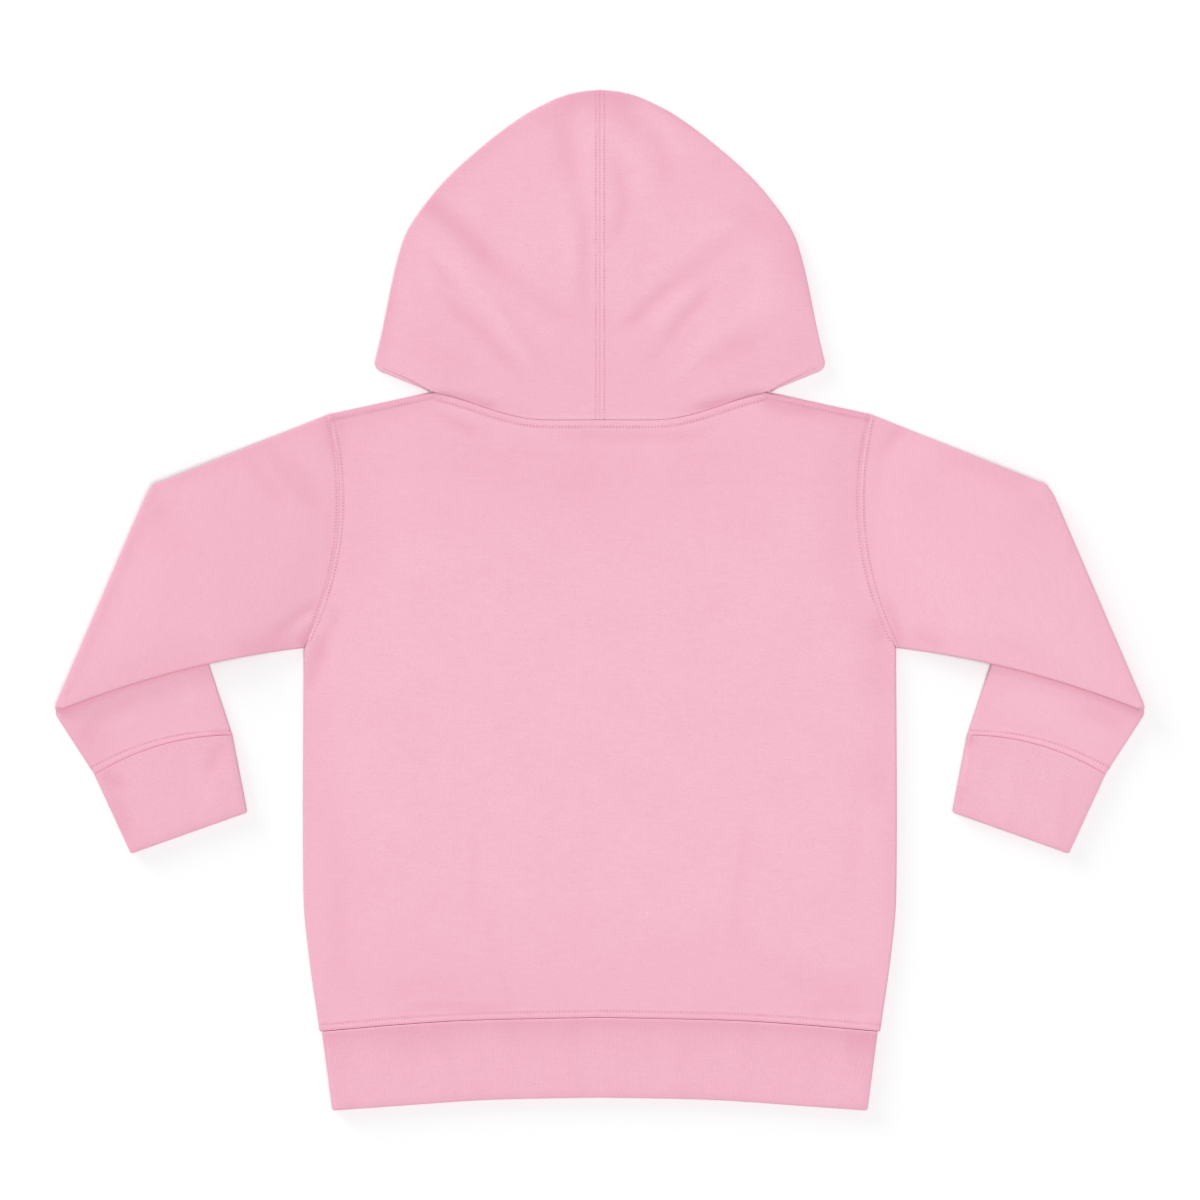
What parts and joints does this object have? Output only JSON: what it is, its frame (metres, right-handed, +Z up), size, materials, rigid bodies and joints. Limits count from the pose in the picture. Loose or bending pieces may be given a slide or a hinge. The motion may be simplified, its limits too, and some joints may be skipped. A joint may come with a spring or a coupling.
{
  "type": "toddler pullover hoodie laid flat",
  "caption": "Pink toddler pullover hoodie laid flat on its front, hood spread, sleeves folded under at the elbows, rib cuffs and rib waistband.",
  "frame": {"origin": "centre of the garment's outline, on the surface that it lies on", "axes": "+X across the garment to its right sleeve as seen from above, +Y from the hem to the hood, +Z up from the surface, out of the garment's back"},
  "size_m": [0.577, 0.5411, 0.0096],
  "materials": {
    "fleece": "matt jersey-faced fleece, fine knit columns, a few darker flecks",
    "rib_knit": "matt fine rib knit"
  },
  "bodies": {
    "root": {"back_panel": "fleece", "front_panel": "fleece", "sleeve_left": "fleece", "sleeve_right": "fleece", "hood_left": "fleece", "hood_right": "fleece", "cuff_left": "rib_knit", "cuff_right": "rib_knit", "waistband": "rib_knit"}
  },
  "joints": []
}
